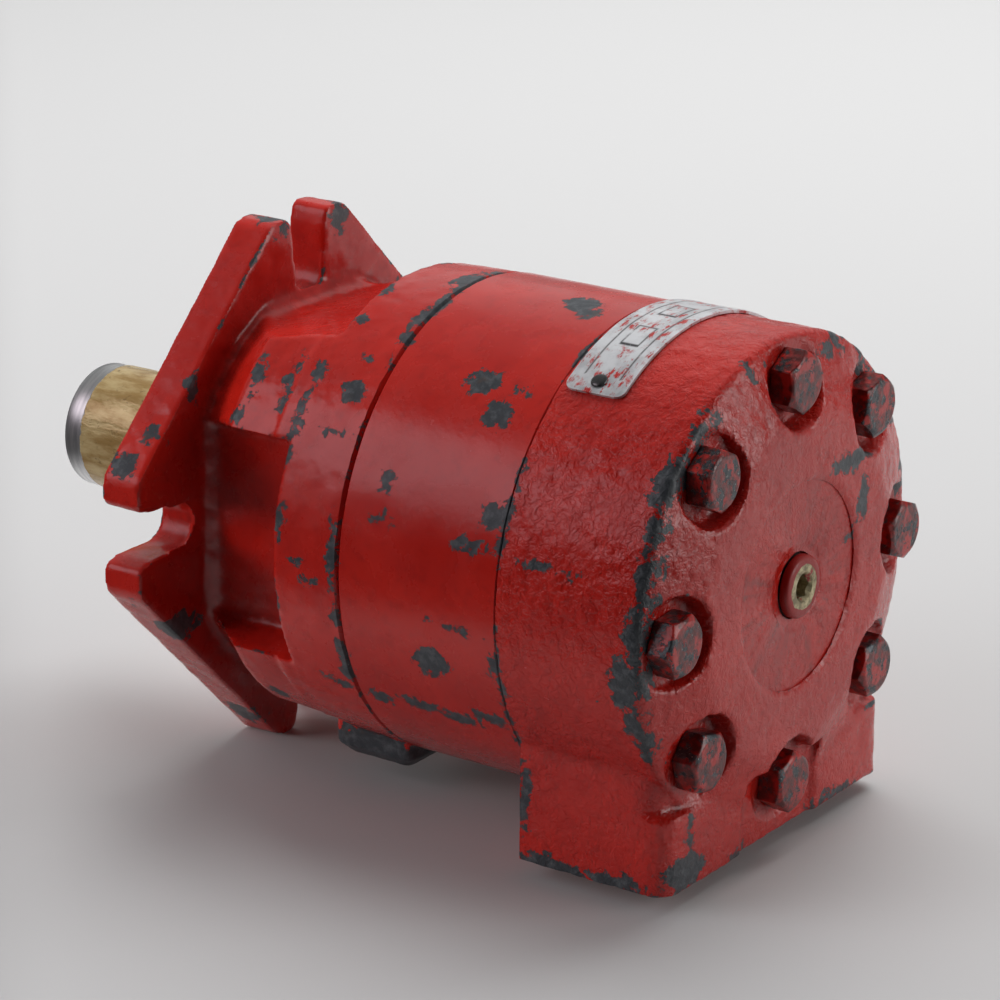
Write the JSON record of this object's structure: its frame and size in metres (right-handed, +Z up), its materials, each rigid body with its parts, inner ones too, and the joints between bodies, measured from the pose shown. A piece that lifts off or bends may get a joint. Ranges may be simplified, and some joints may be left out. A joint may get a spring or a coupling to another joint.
{
  "type": "hydraulic motor",
  "caption": "Low-speed high-torque orbital hydraulic motor with a slotted square mounting flange, straight output shaft, bolted round sections and a rear port block.",
  "frame": {"origin": "middle of the underside of the whole motor, straight below the shaft axis", "axes": "+X along the shaft axis from the end cover to the shaft tip, +Z up with the port block underneath, +Y to the side so that the three axes are right-handed"},
  "size_m": [0.247, 0.156, 0.156],
  "materials": {
    "body_paint": "glossy red machine enamel over rough cast iron, chipped to dark grey iron at the edges and in patches",
    "bolt_paint": "red enamel over hex bolt heads, worn to grey steel on the corners",
    "nameplate_metal": "scratched satin, with smears of red paint",
    "plug_metal": "worn zinc plate with a dull yellow tint and traces of red paint",
    "shaft_steel": "ground steel under a dried amber preservative film, bare and bright at the tip",
    "seal_rubber": "matt black",
    "bearing_steel": "ground and bright",
    "gear_steel": "hardened and ground, oiled",
    "bronze": "machined"
  },
  "bodies": {
    "casing": {"front_housing": "body_paint", "stator_ring": "body_paint", "end_cover": "body_paint", "cover_bolt_1": "bolt_paint", "cover_bolt_2": "bolt_paint", "cover_bolt_3": "bolt_paint", "cover_bolt_4": "bolt_paint", "cover_bolt_5": "bolt_paint", "cover_bolt_6": "bolt_paint", "cover_bolt_7": "bolt_paint", "cover_bolt_8": "bolt_paint", "nameplate": "nameplate_metal", "nameplate_pin_1": "nameplate_metal", "nameplate_pin_2": "nameplate_metal", "rear_plug": "plug_metal", "drain_plug": "plug_metal", "rear_plug_seal": "seal_rubber", "drain_plug_seal": "seal_rubber", "rear_body_seal": "seal_rubber", "front_body_seal": "seal_rubber", "shaft_seal": "seal_rubber", "dust_seal": "seal_rubber", "balance_outer_seal": "seal_rubber", "balance_inner_seal": "seal_rubber", "front_bearing_outer_race": "bearing_steel", "rear_bearing_outer_race": "bearing_steel", "valve_plate": "gear_steel", "wear_plate": "gear_steel", "balance_ring": "gear_steel", "balance_pin_1": "gear_steel", "balance_pin_2": "gear_steel", "bearing_spacer": "gear_steel", "seal_backup_washer": "gear_steel"},
    "shaft": {"output_shaft": "shaft_steel", "front_bearing_inner_race": "bearing_steel", "rear_bearing_inner_race": "bearing_steel"},
    "orbit_carrier": {"drive_spacer": "bronze"},
    "rotor": {"rotor": "gear_steel"},
    "drive_link": {"drive_link": "gear_steel"},
    "valve_drive": {"valve_drive": "gear_steel"},
    "disc_valve": {"disc_valve": "gear_steel"},
    "front_bearing_rollers": {"front_bearing_rollers": "bearing_steel"},
    "rear_bearing_rollers": {"rear_bearing_rollers": "bearing_steel"},
    "thrust_bearing": {"thrust_bearing": "bearing_steel"},
    "roller_1": {"roller_1": "bearing_steel"},
    "roller_2": {"roller_2": "bearing_steel"},
    "roller_3": {"roller_3": "bearing_steel"},
    "roller_4": {"roller_4": "bearing_steel"},
    "roller_5": {"roller_5": "bearing_steel"},
    "roller_6": {"roller_6": "bearing_steel"},
    "roller_7": {"roller_7": "bearing_steel"}
  },
  "joints": [
    {"name": "shaft_spin", "type": "hinge", "parent": "casing", "child": "shaft", "pos_m": [0.05727, 0, 0.078], "axis": [1, 0, 0], "continuous": true},
    {"name": "rotor_orbit", "type": "hinge", "parent": "casing", "child": "orbit_carrier", "pos_m": [-0.04473, 0, 0.078], "axis": [1, 0, 0], "continuous": true},
    {"name": "rotor_spin", "type": "hinge", "parent": "orbit_carrier", "child": "rotor", "pos_m": [-0.04473, 0.0032, 0.078], "axis": [1, 0, 0], "continuous": true},
    {"name": "drive_link_spin", "type": "hinge", "parent": "orbit_carrier", "child": "drive_link", "pos_m": [-0.03673, 0.0032, 0.078], "axis": [0.9978, -0.0665, 0], "continuous": true},
    {"name": "valve_drive_spin", "type": "hinge", "parent": "orbit_carrier", "child": "valve_drive", "pos_m": [-0.08922, 0, 0.078], "axis": [0.9952, 0.098, 0], "continuous": true},
    {"name": "disc_valve_spin", "type": "hinge", "parent": "casing", "child": "disc_valve", "pos_m": [-0.08772, 0, 0.078], "axis": [1, 0, 0], "continuous": true},
    {"name": "front_bearing_roll", "type": "hinge", "parent": "casing", "child": "front_bearing_rollers", "pos_m": [0.02728, 0, 0.078], "axis": [1, 0, 0], "continuous": true},
    {"name": "rear_bearing_roll", "type": "hinge", "parent": "casing", "child": "rear_bearing_rollers", "pos_m": [0.00228, 0, 0.078], "axis": [1, 0, 0], "continuous": true},
    {"name": "thrust_bearing_roll", "type": "hinge", "parent": "casing", "child": "thrust_bearing", "pos_m": [-0.01073, 0, 0.078], "axis": [1, 0, 0], "continuous": true},
    {"name": "roller_1_spin", "type": "hinge", "parent": "casing", "child": "roller_1", "pos_m": [-0.04473, 0.0405, 0.078], "axis": [1, 0, 0], "continuous": true},
    {"name": "roller_2_spin", "type": "hinge", "parent": "casing", "child": "roller_2", "pos_m": [-0.04473, 0.02525, 0.10966], "axis": [1, 0, 0], "continuous": true},
    {"name": "roller_3_spin", "type": "hinge", "parent": "casing", "child": "roller_3", "pos_m": [-0.04473, -0.00901, 0.11749], "axis": [1, 0, 0], "continuous": true},
    {"name": "roller_4_spin", "type": "hinge", "parent": "casing", "child": "roller_4", "pos_m": [-0.04473, -0.03649, 0.09557], "axis": [1, 0, 0], "continuous": true},
    {"name": "roller_5_spin", "type": "hinge", "parent": "casing", "child": "roller_5", "pos_m": [-0.04473, -0.03649, 0.06043], "axis": [1, 0, 0], "continuous": true},
    {"name": "roller_6_spin", "type": "hinge", "parent": "casing", "child": "roller_6", "pos_m": [-0.04473, -0.00901, 0.03852], "axis": [1, 0, 0], "continuous": true},
    {"name": "roller_7_spin", "type": "hinge", "parent": "casing", "child": "roller_7", "pos_m": [-0.04473, 0.02525, 0.04634], "axis": [1, 0, 0], "continuous": true}
  ],
  "couplings": [
    {"joint": "rotor_orbit", "follows": "shaft_spin", "ratio": -6},
    {"joint": "rotor_spin", "follows": "shaft_spin", "ratio": 7},
    {"joint": "drive_link_spin", "follows": "shaft_spin", "ratio": 7},
    {"joint": "valve_drive_spin", "follows": "shaft_spin", "ratio": 7},
    {"joint": "disc_valve_spin", "follows": "shaft_spin", "ratio": 1},
    {"joint": "front_bearing_roll", "follows": "shaft_spin", "ratio": 0.47},
    {"joint": "rear_bearing_roll", "follows": "shaft_spin", "ratio": 0.47},
    {"joint": "thrust_bearing_roll", "follows": "shaft_spin", "ratio": 0.5},
    {"joint": "roller_1_spin", "follows": "shaft_spin", "ratio": -4.6},
    {"joint": "roller_2_spin", "follows": "shaft_spin", "ratio": -4.6},
    {"joint": "roller_3_spin", "follows": "shaft_spin", "ratio": -4.6},
    {"joint": "roller_4_spin", "follows": "shaft_spin", "ratio": -4.6},
    {"joint": "roller_5_spin", "follows": "shaft_spin", "ratio": -4.6},
    {"joint": "roller_6_spin", "follows": "shaft_spin", "ratio": -4.6},
    {"joint": "roller_7_spin", "follows": "shaft_spin", "ratio": -4.6}
  ]
}
